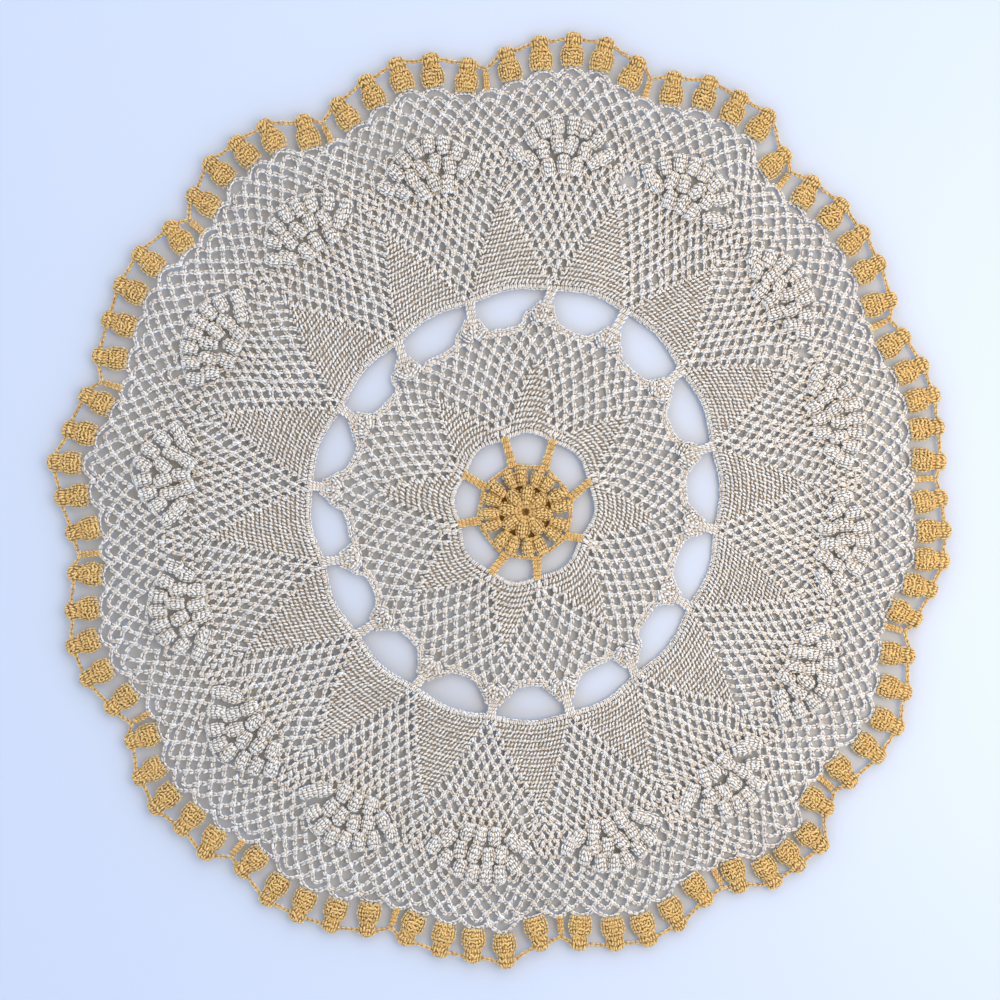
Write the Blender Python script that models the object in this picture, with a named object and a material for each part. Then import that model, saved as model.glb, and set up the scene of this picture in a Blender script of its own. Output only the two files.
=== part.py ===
"""A round crochet doily, about 43 by 45 cm, lying flat on a table.

It has four pieces, worked one after the other: a yellow rosette, a beige inner disc, a beige
outer ring and a yellow scalloped edging. The pattern repeats in 16 sections. Each piece is one
flat sheet with a level underside; petals, clusters, popcorns and shells stand up from its top.
Sizes are in millimetres and angles in degrees, clockwise from the far edge (+Y).
"""

import math
from collections import namedtuple

import bmesh
import bpy
import numpy as np
from mathutils.geometry import delaunay_2d_cdt

MM = 0.001
SECTIONS = 16
FULL_TURN = 360.0
TURN = FULL_TURN / SECTIONS  # one section
GAP = 0.3  # between two pieces that touch

# Heights above the table.
NET_TOP = 1.4
SHEET_TOP = 1.8
SPEAR_TOP = 2.8
FAN_TOP = 3.2
POPCORN_TOP = 4.4
SHELL_TOP = 4.0
KNOB_TOP = 3.6
PETAL_TOP = 3.4

# Places are measured from the middle of the pattern; the finished part is centred on its box.
PATTERN_CENTRE = (0.0, 0.0)
DISC_CENTRE = (2.9, 0.0)
ROSETTE_CENTRE = (3.9, -2.1)

# One row for each section. Leg and fan belong to the section's middle, the joint to its start.
# leg: where a disc leg meets the outer ring. fan: centre of the cluster at the leg's foot, from
# the disc's centre. joint: the edging's valley. knobs: outer ends of the section's five shells.
Section = namedtuple("Section", "leg_deg leg fan_deg fan joint_deg joint knobs")
TABLE = [
    Section(*row)
    for row in (
        (9.1, 106.0, 5.9, 92.5, -4.1, 210.0, (219.5, 225.0, 228.0, 228.0, 222.5)),
        (28.9, 107.5, 27.1, 89.5, 17.3, 214.5, (221.0, 225.5, 225.5, 225.0, 214.0)),
        (50.1, 102.5, 49.5, 86.0, 39.2, 207.0, (212.5, 214.5, 213.5, 211.0, 206.5)),
        (72.6, 98.0, 72.1, 82.5, 63.2, 199.5, (204.5, 207.5, 208.5, 207.0, 205.5)),
        (96.4, 95.5, 95.8, 81.0, 86.0, 200.5, (205.0, 207.0, 207.5, 204.0, 200.0)),
        (119.9, 95.5, 120.7, 80.0, 107.8, 194.5, (202.5, 208.0, 212.5, 212.0, 208.5)),
        (144.8, 98.5, 144.8, 86.0, 131.7, 203.5, (209.0, 220.0, 220.0, 219.5, 212.5)),
        (165.5, 102.0, 167.5, 88.5, 151.5, 206.5, (210.5, 216.0, 218.5, 216.5, 213.0)),
        (187.2, 100.5, 188.6, 90.0, 174.1, 206.5, (211.5, 219.5, 218.0, 217.5, 215.5)),
        (209.7, 99.0, 210.3, 88.5, 196.7, 210.0, (217.0, 221.5, 224.0, 224.5, 220.0)),
        (231.6, 98.0, 231.8, 85.5, 219.4, 216.0, (225.0, 224.5, 227.0, 224.5, 218.0)),
        (254.4, 96.5, 253.4, 85.5, 240.8, 211.5, (218.5, 224.0, 225.0, 221.0, 216.5)),
        (276.1, 99.5, 275.6, 91.5, 263.8, 210.5, (215.5, 220.5, 225.0, 220.0, 215.5)),
        (299.4, 97.0, 297.1, 86.5, 286.8, 207.5, (215.0, 217.5, 220.0, 220.0, 215.5)),
        (324.2, 97.5, 319.7, 86.0, 311.2, 209.0, (217.5, 223.0, 222.5, 221.0, 213.5)),
        (347.0, 100.5, 344.1, 87.5, 333.1, 206.0, (213.5, 218.5, 222.0, 220.5, 215.5)),
    )
]

# The rosette's eight legs: base seen from the rosette's centre, tip from the disc's centre.
RosetteLeg = namedtuple("RosetteLeg", "base_deg tip_deg tip")
ROSETTE_LEGS = [
    RosetteLeg(*row)
    for row in (
        (23.9, 24.0, 34.2),
        (73.6, 69.0, 33.4),
        (121.2, 118.2, 30.6),
        (165.7, 168.5, 33.8),
        (204.5, 205.8, 34.1),
        (259.2, 255.5, 30.7),
        (301.1, 299.3, 31.4),
        (344.6, 345.0, 33.3),
    )
]
FIRST_ROSETTE_LEG = 1.5  # its place round the disc, in sections; the others are two apart

# Rosette.
EYE_RADIUS = 1.9
PETAL = (7.6, 4.2, 2.9)  # distance out, half length, half width
LEAF = (17.0, 4.2, 2.5)
LEAF_SPREAD = 9.5  # degrees to each side of a leg
RIM_AT_LEG = 23.0
RIM_BETWEEN = 21.6
RIM_SHARES = (0.3, 0.5, 0.7)  # the rim's points between two legs
ROSETTE_LEG_HALF = (2.1, 1.5)  # at the base and at the tip

# Inner disc and outer ring.
HOLE_BULGE = 2.0  # the disc's hole between two rosette legs
HOLE_SHARES = (0.5, 0.83, 1.17, 1.5)  # the hole's points after a rosette leg, in sections
MOON_BULGE = 1.6  # the ring's inner edge between two disc legs
MOON_SHARES = (-0.2, 0.0, 0.2)  # its points to each side of a section's start
LEG_HALF = 2.1
LEG_FOOT = 4.6  # from the fan's centre out to the leg's foot
FAN_SHOULDER = (1.6, 5.4)  # out from the fan's centre, and to each side
FAN_DIP = 2.4  # the disc's edge between two fans lies this far in
DIP_SHARES = (0.27, 0.5, 0.73)  # that edge's points between two fans
FAN = (3.4, 4.4)  # half length, half width of the cluster
FAN_SHIFT = 0.6  # from the fan's centre in to the cluster's middle
SPEAR_INSET = 2.2  # from a spear's foot to its raised top
INSET_SHARES = (1.4, 2.6, 1.4)  # of it, at the two wide corners and at the tip between them
Spear = namedtuple("Spear", "base tip half_base")  # depths, and sections to each side
DISC_SPEAR = Spear(0.12, 0.78, 0.62)
RING_SPEAR = Spear(0.05, 0.49, 0.35)

# Openings of the net, cut at twice its pitch. For each repeat: sections from its axis, depth.
NetHole = namedtuple("NetHole", "across depth half_width half_length")
RING_HOLES = [
    NetHole(*row)
    for row in (
        (0.00, 0.59, 3.6, 3.9),
        (-0.14, 0.50, 3.4, 3.8),
        (0.14, 0.50, 3.4, 3.8),
        (-0.075, 0.70, 3.4, 3.8),
        (0.075, 0.70, 3.4, 3.8),
        (0.26, 0.87, 4.2, 3.6),
        (0.50, 0.88, 4.2, 3.6),
        (0.74, 0.87, 4.2, 3.6),
    )
]
DISC_HOLES = [
    NetHole(*row)
    for row in (
        (0.00, 0.32, 3.0, 3.4),
        (-0.23, 0.47, 3.0, 3.4),
        (0.23, 0.47, 3.0, 3.4),
        (0.00, 0.62, 3.2, 3.4),
        (-0.43, 0.63, 3.2, 3.4),
        (0.43, 0.63, 3.2, 3.4),
    )
]

# Popcorns of one section, in three rows that bend down at their ends.
PopcornRow = namedtuple("PopcornRow", "count depth")
POPCORN_ROWS = [PopcornRow(3, 0.56), PopcornRow(6, 0.648), PopcornRow(8, 0.735)]
POPCORN_PITCH = 6.6
POPCORN = (4.1, 3.0)  # half length, half width
ROW_BEND = 0.8  # lost depth for each squared section from the leg's axis

# Edging.
BULB_AT = (0.16, 0.34, 0.52, 0.69, 0.87)  # a section's shells along the lace edge
KNOB_AT = (0.12, 0.32, 0.51, 0.70, 0.91)  # and along the outer edge
SHELL_LENGTH = 15.0
JOINT_LENGTH = 9.2
SHELL_FOOT_HALF = 2.4
JOINT_HALF = 1.6
CHAIN_WIDTH = 2.2
# Half outline of a shell: to the side, and share of its length from the lace.
BULB_OUTLINE = ((5.0, 0.40), (4.3, 0.13))
CHAIN_CORNER = (3.0, 0.66)
KNOB_OUTLINE = ((3.5, 0.80), (1.9, 0.985))
# Raised points on a shell's middle: share of its length, height.
SHELL_CROWN = ((0.20, SHELL_TOP), (0.42, SHELL_TOP), (0.64, SHEET_TOP), (0.84, KNOB_TOP))

OVAL_SIDES = 6  # corners of a lump's foot and of the rosette's eye
DIRECTION_STEP = 0.02  # sections to each side of a place, to find an edge's direction
WELD = 1e-6  # points nearer than this count as one

BEIGE = (0.60, 0.52, 0.44, 1.0)
YELLOW = (0.78, 0.44, 0.075, 1.0)


def polar(centre, degrees, radius):
    angle = math.radians(degrees)
    return np.array((centre[0] + radius * math.sin(angle), centre[1] + radius * math.cos(angle)))


def unit(vector):
    return vector / np.linalg.norm(vector)


def read_round(stations, values, at):
    """A value given at some stations of the closed round, read between them."""
    return float(np.interp(at, stations, values, period=SECTIONS))


def read_angle(stations, degrees, at):
    """The same for angles, which grow by a full turn each round."""
    stations = np.array(stations)
    return TURN * at + read_round(stations, np.array(degrees) - TURN * stations, at)


JOINTS = np.arange(SECTIONS)
LEGS = JOINTS + 0.5
TIPS = FIRST_ROSETTE_LEG + 2.0 * np.arange(len(ROSETTE_LEGS))


def leg_angle(at):
    return read_angle(LEGS, [row.leg_deg for row in TABLE], at)


def joint_angle(at):
    return read_angle(JOINTS, [row.joint_deg for row in TABLE], at)


def fan_angle(at):
    return read_angle(LEGS, [row.fan_deg for row in TABLE], at)


def tip_angle(at):
    return read_angle(TIPS, [row.tip_deg for row in ROSETTE_LEGS], at)


def moon_radius(at):
    """The ring's inner edge, which bulges between two legs."""
    bulge = MOON_BULGE * math.cos(math.pi * at) ** 2
    return read_round(LEGS, [row.leg for row in TABLE], at) + bulge


def lace_radius(at):
    """The ring's outer edge, where the edging is sewn on."""
    stations, radii = [], []
    for number, row in enumerate(TABLE):
        stations.append(number)
        radii.append(row.joint - JOINT_LENGTH)
        for share, knob in zip(BULB_AT, row.knobs):
            stations.append(number + share)
            radii.append(knob - SHELL_LENGTH)
    return read_round(stations, radii, at)


def hole_radius(at):
    """The disc's hole, which bulges between two rosette legs."""
    bulge = HOLE_BULGE * math.cos(math.pi * (at - FIRST_ROSETTE_LEG + 1.0) / 2.0) ** 2
    return read_round(TIPS, [row.tip for row in ROSETTE_LEGS], at) + bulge


def fan_radius(at):
    return read_round(LEGS, [row.fan for row in TABLE], at)


def ring_point(at, depth):
    """A point of the outer ring: depth runs from 0 at its inner edge to 1 at the lace edge."""
    degrees = leg_angle(at) + (joint_angle(at) - leg_angle(at)) * depth
    radius = moon_radius(at) + (lace_radius(at) - moon_radius(at)) * depth
    return polar(PATTERN_CENTRE, degrees, radius)


def disc_point(at, depth):
    """A point of the inner disc: depth runs from 0 at its hole to 1 at the fans' centres."""
    degrees = tip_angle(at) + (fan_angle(at) - tip_angle(at)) * depth
    radius = hole_radius(at) + (fan_radius(at) - hole_radius(at)) * depth
    return polar(DISC_CENTRE, degrees, radius)


def frame_at(place, at, depth):
    """A point of a piece, its direction round and its direction outwards."""
    point = place(at, depth)
    along = unit(place(at + DIRECTION_STEP, depth) - place(at - DIRECTION_STEP, depth))
    outwards = np.array((-along[1], along[0]))
    return point, along, outwards


def seam_pair(place, at, depth, half, shift):
    """Two points on an edge, to each side of a place, moved outwards by shift."""
    point, along, outwards = frame_at(place, at, depth)
    return [point - along * half + outwards * shift, point + along * half + outwards * shift]


class Sheet:
    """One flat piece: closed outlines, and points inside them that are raised."""

    def __init__(self, name):
        self.name = name
        self.loops = []
        self.raised = []
        self.creases = []  # straight folds between raised points

    def add_loop(self, points, top=SHEET_TOP):
        self.loops.append([(float(x), float(y), top) for x, y in points])

    def add_point(self, point, top):
        self.raised.append((float(point[0]), float(point[1]), top))
        return len(self.raised) - 1

    def add_oval(self, centre, axis, half_length, half_width, top, foot=SHEET_TOP):
        """A rounded lump: a six-sided foot and a raised crown."""
        side = np.array((axis[1], -axis[0]))
        for number in range(OVAL_SIDES):
            angle = math.radians(FULL_TURN / OVAL_SIDES * number)
            spot = axis * half_length * math.cos(angle) + side * half_width * math.sin(angle)
            self.add_point(centre + spot, foot)
        self.add_point(centre, top)

    def build(self, shift, material):
        """The closed solid: raised top, level underside at the table, and upright walls."""
        rim = [point for loop in self.loops for point in loop]
        edges, start = [], 0
        for loop in self.loops:
            count = len(loop)
            edges += [(start + i, start + (i + 1) % count) for i in range(count)]
            start += count
        mesh = bmesh.new()
        top_points = rim + self.raised
        top = [mesh.verts.new((np.array(p) - (*shift, 0.0)) * MM) for p in top_points]
        under = [mesh.verts.new((v.co.x, v.co.y, 0.0)) for v in top[: len(rim)]]
        creases = [(len(rim) + a, len(rim) + b) for a, b in self.creases]
        for a, b, c in triangles(top_points, edges, creases):
            mesh.faces.new((top[a], top[b], top[c]))
        for a, b, c in triangles(rim, edges, []):
            mesh.faces.new((under[c], under[b], under[a]))
        for a, b in edges:
            mesh.faces.new((under[a], under[b], top[b], top[a]))
        bmesh.ops.recalc_face_normals(mesh, faces=mesh.faces)
        data = bpy.data.meshes.new(self.name)
        mesh.to_mesh(data)
        mesh.free()
        data.materials.append(material)
        piece = bpy.data.objects.new(self.name, data)
        bpy.context.scene.collection.objects.link(piece)
        return piece


def triangles(points, edges, creases):
    """Triangles that fill the area between closed outlines, as numbers of the given points."""
    flat = np.array(points)[:, :2]
    made = delaunay_2d_cdt(flat.tolist(), edges + creases, [], 0, WELD, True)
    faces = np.array([[made[3][corner][0] for corner in face] for face in made[2]])
    middle = flat[faces].mean(axis=1)[:, None, :]
    start, end = flat[[a for a, _ in edges]], flat[[b for _, b in edges]]
    # A line from a triangle in the area to +X crosses the outlines an odd number of times.
    spans = (start[:, 1] > middle[..., 1]) != (end[:, 1] > middle[..., 1])
    rise = np.where(start[:, 1] == end[:, 1], 1.0, end[:, 1] - start[:, 1])
    crossing = start[:, 0] + (end - start)[:, 0] * (middle[..., 1] - start[:, 1]) / rise
    return faces[(spans & (crossing > middle[..., 0])).sum(axis=1) % 2 == 1]


def net_hole(sheet, place, axis_at, hole):
    point, along, outwards = frame_at(place, axis_at + hole.across, hole.depth)
    sheet.add_loop(
        [
            point + along * hole.half_width,
            point + outwards * hole.half_length,
            point - along * hole.half_width,
            point - outwards * hole.half_length,
        ],
        NET_TOP,
    )


def spear(sheet, place, axis_at, shape):
    """A solid wedge of stitches, thicker than the net: wide foot, pointed tip."""
    corners = [
        place(axis_at - shape.half_base, shape.base),
        place(axis_at, shape.tip),
        place(axis_at + shape.half_base, shape.base),
    ]
    middle = sum(corners) / 3.0
    foot = [sheet.add_point(corner, SHEET_TOP) for corner in corners]
    top = [
        sheet.add_point(corner + unit(middle - corner) * SPEAR_INSET * reach, SPEAR_TOP)
        for corner, reach in zip(corners, INSET_SHARES)
    ]
    for loop in (foot, top):
        sheet.creases += [(loop[i], loop[(i + 1) % 3]) for i in range(3)]


def rosette():
    sheet = Sheet("rosette")
    outline = []
    for number, leg in enumerate(ROSETTE_LEGS):
        at = TIPS[number]
        base = polar(ROSETTE_CENTRE, leg.base_deg, RIM_AT_LEG)
        axis = unit(base - np.array(ROSETTE_CENTRE))
        side = np.array((axis[1], -axis[0]))
        tip = seam_pair(disc_point, at, 0.0, ROSETTE_LEG_HALF[1], -GAP)
        outline += [base - side * ROSETTE_LEG_HALF[0], *tip, base + side * ROSETTE_LEG_HALF[0]]
        following = ROSETTE_LEGS[(number + 1) % len(ROSETTE_LEGS)]
        span = (following.base_deg - leg.base_deg) % FULL_TURN
        for share in RIM_SHARES:
            outline.append(polar(ROSETTE_CENTRE, leg.base_deg + span * share, RIM_BETWEEN))
        out, half_length, half_width = PETAL
        centre = polar(ROSETTE_CENTRE, leg.base_deg + span / 2.0, out)
        sheet.add_oval(
            centre, unit(centre - np.array(ROSETTE_CENTRE)), half_length, half_width, PETAL_TOP
        )
        out, half_length, half_width = LEAF
        for spread in (-LEAF_SPREAD, LEAF_SPREAD):
            centre = polar(ROSETTE_CENTRE, leg.base_deg + spread, out)
            sheet.add_oval(
                centre, unit(centre - np.array(ROSETTE_CENTRE)), half_length, half_width, PETAL_TOP
            )
    sheet.add_loop(outline)
    eye = [FULL_TURN / OVAL_SIDES * corner for corner in range(OVAL_SIDES)]
    sheet.add_loop([polar(ROSETTE_CENTRE, degrees, EYE_RADIUS) for degrees in eye])
    return sheet


def inner_disc():
    sheet = Sheet("inner_lace")
    hole, outline = [], []
    for at in TIPS:
        hole += seam_pair(disc_point, at, 0.0, ROSETTE_LEG_HALF[1], 0.0)
        hole += [disc_point(at + across, 0.0) for across in HOLE_SHARES]
        for net in DISC_HOLES:
            net_hole(sheet, disc_point, at, net)
        spear(sheet, disc_point, at + 1.0, DISC_SPEAR)
    for at in LEGS:
        fan, along, outwards = frame_at(disc_point, at, 1.0)
        foot = fan + outwards * LEG_FOOT
        shoulder = fan + outwards * FAN_SHOULDER[0]
        top = seam_pair(ring_point, at, 0.0, LEG_HALF, -GAP)
        outline += [shoulder - along * FAN_SHOULDER[1], foot - along * LEG_HALF, *top]
        outline += [foot + along * LEG_HALF, shoulder + along * FAN_SHOULDER[1]]
        for across in DIP_SHARES:
            point, _, out = frame_at(disc_point, at + across, 1.0)
            outline.append(point - out * FAN_DIP * math.sin(math.pi * across))
        sheet.add_oval(fan - outwards * FAN_SHIFT, outwards, *FAN, FAN_TOP)
    sheet.add_loop(outline)
    sheet.add_loop(hole)
    return sheet


def popcorns(sheet, leg_at):
    """One section's group of puffed clusters, in rows that lie flatter than the ring."""
    for row in POPCORN_ROWS:
        middle = ring_point(leg_at, row.depth)
        width = np.linalg.norm(ring_point(leg_at + 0.5, row.depth) - middle) * 2.0
        for number in range(row.count):
            across = (number - (row.count - 1) / 2.0) * POPCORN_PITCH / width
            depth = row.depth - ROW_BEND * across**2
            centre, _, outwards = frame_at(ring_point, leg_at + across, depth)
            sheet.add_oval(centre, outwards, *POPCORN, POPCORN_TOP)


def outer_ring():
    sheet = Sheet("outer_lace")
    moon_edge, lace_edge = [], []
    for number in range(SECTIONS):
        moon_edge += [ring_point(number + across, 0.0) for across in MOON_SHARES]
        moon_edge += seam_pair(ring_point, number + 0.5, 0.0, LEG_HALF, 0.0)
        lace_edge += seam_pair(ring_point, number, 1.0, JOINT_HALF, 0.0)
        for share in BULB_AT:
            lace_edge += seam_pair(ring_point, number + share, 1.0, SHELL_FOOT_HALF, 0.0)
        for net in RING_HOLES:
            net_hole(sheet, ring_point, number, net)
        spear(sheet, ring_point, number, RING_SPEAR)
        popcorns(sheet, number + 0.5)
    sheet.add_loop(moon_edge)
    sheet.add_loop(lace_edge)
    return sheet


def shell(sheet, at, knob_at, knob):
    """One shell's share of the edging's outlines, inner and outer, in the order round."""
    foot = seam_pair(ring_point, at, 1.0, SHELL_FOOT_HALF, GAP)
    start = (foot[0] + foot[1]) / 2.0
    end = polar(PATTERN_CENTRE, joint_angle(knob_at), knob)
    length = np.linalg.norm(end - start)
    axis = unit(end - start)
    side = np.array((axis[1], -axis[0]))
    if side @ (foot[1] - foot[0]) < 0.0:
        side = -side

    def spot(across, share):
        return start + side * across + axis * length * share

    left = [CHAIN_CORNER, *BULB_OUTLINE]
    inner = [spot(-across, share) for across, share in left] + foot
    inner += [spot(across, share) for across, share in reversed(left)]
    outer = [spot(-across, share) for across, share in KNOB_OUTLINE]
    outer += [spot(across, share) for across, share in reversed(KNOB_OUTLINE)]
    for share, top in SHELL_CROWN:
        sheet.add_point(spot(0.0, share), top)
    return inner, outer


def joint(number, radius):
    """A plain leg of stitches between two scallops: its share of the inner outline."""
    foot = seam_pair(ring_point, number, 1.0, JOINT_HALF, GAP)
    top = polar(PATTERN_CENTRE, joint_angle(number), radius)
    axis = unit(top - (foot[0] + foot[1]) / 2.0)
    side = unit(foot[1] - foot[0])
    corner = top - axis * CHAIN_WIDTH
    return [corner - side * JOINT_HALF, *foot, corner + side * JOINT_HALF], [top]


def edging():
    sheet = Sheet("edging")
    inner_edge, outer_edge = [], []
    for number, row in enumerate(TABLE):
        inner, outer = joint(number, row.joint)
        inner_edge += inner
        outer_edge += outer
        for share, knob_share, knob in zip(BULB_AT, KNOB_AT, row.knobs):
            inner, outer = shell(sheet, number + share, number + knob_share, knob)
            inner_edge += inner
            outer_edge += outer
    sheet.add_loop(inner_edge)
    sheet.add_loop(outer_edge)
    return sheet


def cotton(name, colour):
    material = bpy.data.materials.new(name)
    material.use_nodes = True
    shader = material.node_tree.nodes["Principled BSDF"]
    shader.inputs["Base Color"].default_value = colour
    shader.inputs["Roughness"].default_value = 0.9
    shader.inputs["Metallic"].default_value = 0.0
    material.diffuse_color = colour
    return material


def build_doily():
    for old in list(bpy.data.objects):
        bpy.data.objects.remove(old)
    beige = cotton("beige_cotton", BEIGE)
    yellow = cotton("yellow_cotton", YELLOW)
    border = edging()
    reach = np.array([point[:2] for loop in border.loops for point in loop])
    middle = (reach.min(axis=0) + reach.max(axis=0)) / 2.0
    rosette().build(middle, yellow)
    inner_disc().build(middle, beige)
    outer_ring().build(middle, beige)
    border.build(middle, yellow)


build_doily()
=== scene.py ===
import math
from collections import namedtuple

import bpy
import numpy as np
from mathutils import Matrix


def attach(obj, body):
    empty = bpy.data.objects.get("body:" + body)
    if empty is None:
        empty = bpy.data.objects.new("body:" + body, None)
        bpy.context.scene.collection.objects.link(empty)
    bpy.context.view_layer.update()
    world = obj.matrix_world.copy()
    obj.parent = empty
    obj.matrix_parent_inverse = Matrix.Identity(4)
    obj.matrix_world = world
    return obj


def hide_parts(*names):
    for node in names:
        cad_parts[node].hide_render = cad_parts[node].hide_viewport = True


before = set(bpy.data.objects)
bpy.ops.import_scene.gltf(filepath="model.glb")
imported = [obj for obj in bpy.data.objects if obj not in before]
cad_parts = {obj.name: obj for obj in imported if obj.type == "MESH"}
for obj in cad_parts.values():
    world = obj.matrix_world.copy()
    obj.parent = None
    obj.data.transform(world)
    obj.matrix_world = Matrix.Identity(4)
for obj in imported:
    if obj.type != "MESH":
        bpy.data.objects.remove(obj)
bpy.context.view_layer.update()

# The look of a round crochet doily: each chain, post, popcorn, petal and shell is made of yarn.
# Sizes are in millimetres and angles in degrees, clockwise from the far edge (+Y). A section is
# a sixteenth of the round: its start is a joint of the edging and the axis of a solid spear, and
# its middle is a leg of the inner disc and the axis of a group of popcorns. Places of a piece are
# given as (at, depth): at counts sections round it, and depth is its share from inside to outside.

MM = 0.001
FULL_TURN = 360.0
SECTIONS = 16
TURN = FULL_TURN / SECTIONS  # one section
QUARTERS = 4  # pieces that the ring's net is made in
SECTIONS_EACH = SECTIONS // QUARTERS
UP = np.array((0.0, 0.0, 1.0))
STEP = 0.01  # to each side of a place, to find a direction there

# Where the part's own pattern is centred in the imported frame.
PATTERN_CENTRE = np.array((8.61, -3.46))
DISC_CENTRE = PATTERN_CENTRE + (2.9, 0.0)
ROSETTE_CENTRE = PATTERN_CENTRE + (3.9, -2.1)


def rows_of(kind, *rows):
    """A table whose rows have named columns."""
    return [kind(*row) for row in rows]


# One row for each section. Leg and fan belong to the section's middle, the joint to its start.
# leg: where a disc leg meets the outer ring. fan: centre of the cluster at the leg's foot, from
# the disc's centre. joint: the edging's valley. knobs: outer ends of the section's five shells.
Section = namedtuple("Section", "leg_deg leg fan_deg fan joint_deg joint knobs")
TABLE = rows_of(
    Section,
    (9.1, 106, 5.9, 92.5, -4.1, 210, (219.5, 225, 228, 228, 222.5)),
    (28.9, 107.5, 27.1, 89.5, 17.3, 214.5, (221, 225.5, 225.5, 225, 214)),
    (50.1, 102.5, 49.5, 86, 39.2, 207, (212.5, 214.5, 213.5, 211, 206.5)),
    (72.6, 98, 72.1, 82.5, 63.2, 199.5, (204.5, 207.5, 208.5, 207, 205.5)),
    (96.4, 95.5, 95.8, 81, 86, 200.5, (205, 207, 207.5, 204, 200)),
    (119.9, 95.5, 120.7, 80, 107.8, 194.5, (202.5, 208, 212.5, 212, 208.5)),
    (144.8, 98.5, 144.8, 86, 131.7, 203.5, (209, 220, 220, 219.5, 212.5)),
    (165.5, 102, 167.5, 88.5, 151.5, 206.5, (210.5, 216, 218.5, 216.5, 213)),
    (187.2, 100.5, 188.6, 90, 174.1, 206.5, (211.5, 219.5, 218, 217.5, 215.5)),
    (209.7, 99, 210.3, 88.5, 196.7, 210, (217, 221.5, 224, 224.5, 220)),
    (231.6, 98, 231.8, 85.5, 219.4, 216, (225, 224.5, 227, 224.5, 218)),
    (254.4, 96.5, 253.4, 85.5, 240.8, 211.5, (218.5, 224, 225, 221, 216.5)),
    (276.1, 99.5, 275.6, 91.5, 263.8, 210.5, (215.5, 220.5, 225, 220, 215.5)),
    (299.4, 97, 297.1, 86.5, 286.8, 207.5, (215, 217.5, 220, 220, 215.5)),
    (324.2, 97.5, 319.7, 86, 311.2, 209, (217.5, 223, 222.5, 221, 213.5)),
    (347, 100.5, 344.1, 87.5, 333.1, 206, (213.5, 218.5, 222, 220.5, 215.5)),
)

# The rosette's eight legs: base seen from the rosette's centre, tip from the disc's centre.
# leaves: the middle of the pair of leaves at the leg's base.
RosetteLeg = namedtuple("RosetteLeg", "base_deg leaves_deg tip_deg tip")
ROSETTE_LEGS = rows_of(
    RosetteLeg,
    (23.9, 28.6, 24, 34.2),
    (73.6, 71.9, 69, 33.4),
    (121.2, 119, 118.2, 30.6),
    (165.7, 166.2, 168.5, 33.8),
    (204.5, 210, 205.8, 34.1),
    (259.2, 257.3, 255.5, 30.7),
    (301.1, 299, 299.3, 31.4),
    (344.6, 344.2, 345, 33.3),
)
FIRST_ROSETTE_LEG = 1.5  # its place round the disc, in sections; the others are two apart
JOINTS = np.arange(SECTIONS)
LEGS = JOINTS + 0.5
TIPS = FIRST_ROSETTE_LEG + 2 * np.arange(len(ROSETTE_LEGS))

# Edges of the disc and the ring, as in the part.
HOLE_BULGE = 2
MOON_BULGE = 1.6
SHELL_LENGTH = 15
JOINT_LENGTH = 9.2
BULB_AT = (0.16, 0.34, 0.52, 0.69, 0.87)  # a section's shells along the lace edge
KNOB_AT = (0.12, 0.32, 0.51, 0.7, 0.91)  # and along the outer edge
RING_DEPTH = 105  # mm from a depth of 0 to 1
DISC_DEPTH = 54

# Yarn. A chain is a plait of two lobes for each stitch.
YARN = 0.58  # radius of a strand in a chain
FINER = 0.92  # share of it at a lobe's far end and in a puff's cap
CHAIN_SPREAD = 0.5  # from a chain's middle to each lobe
STITCH = 2.4  # length of a chain stitch
PLY_PITCH = 0.9  # one turn of the yarn's own twist
TWIST_START = 6  # how far along its twist a strand may start
DYE_SPREAD = 0.14

# Painted shade: a strand is lit on top, and these are the shares of that shade left at its sides and
# at its ends.
Falloff = namedtuple("Falloff", "sides ends")
CHAIN_FALLOFF, POST_FALLOFF, PUFF_FALLOFF = rows_of(Falloff, (0.57, 0.4), (0.56, 0.54), (0.6, 0.42))

# Points of one strand: in steps of the stitch, in steps to its side, and up in mm.
StitchPoint = namedtuple("StitchPoint", "ahead aside up")
CHAIN_LOBE = rows_of(
    StitchPoint, (-0.22, 0.02, -0.25), (0.28, 0.72, 0.12), (0.8, 1.16, 0.08), (1.26, 0.8, -0.35)
)
ROPE_WRAP = rows_of(
    StitchPoint, (-0.25, -1.2, -0.3), (0.2, -0.6, 0), (0.8, 0.6, 0), (1.25, 1.2, -0.3)
)
KNOT_WRAP = rows_of(
    StitchPoint, (-1.45, -1.45, -0.5), (-0.55, -0.55, 0), (0.55, 0.55, 0), (1.45, 1.45, -0.5)
)
KNOT_RADIUS = 0.64
KNOT_LEAN = 0.35
# How far hand work moves the points of each kind of strand.
CHAIN_SHAKE, ROPE_SHAKE, KNOT_SHAKE = 0.15, 0.08, 0.14
POST_SHAKE, PUFF_SHAKE, CAP_SHAKE = 0.12, 0.13, 0.1
POST_SHIFT = 0.035  # in the post's height
POST_TILT = 0.08

# Lines of chain, and ropes of slanting wraps side by side.
Chain = namedtuple("Chain", "height spread radius")
RING_RIM = Chain(0.9, 0.36, 0.42)
POPCORN_LINE = Chain(1.9, 0.34, 0.4)
DISC_RIM, DISC_INNER_RIM = Chain(1.5, 0.46, 0.5), Chain(1.25, 0.46, 0.5)
LEAF_BRIDGE = Chain(1.4, CHAIN_SPREAD, YARN)
ROSETTE_RIM = Chain(1.5, CHAIN_SPREAD, YARN)
SCALLOP = Chain(1.7, 0.52, 0.54)
Rope = namedtuple("Rope", "strands height half radius")
DISC_LEG = Rope((-1.7, -0.57, 0.57, 1.7), 1.7, 0.46, 0.6)
ROSETTE_LEG = Rope((-1, -0.33, 0.33, 1), 1.7, 0.42, 0.56)
JOINT_LEG = Rope((-0.95, 0, 0.95), 1.6, 0.42, 0.56)

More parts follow.
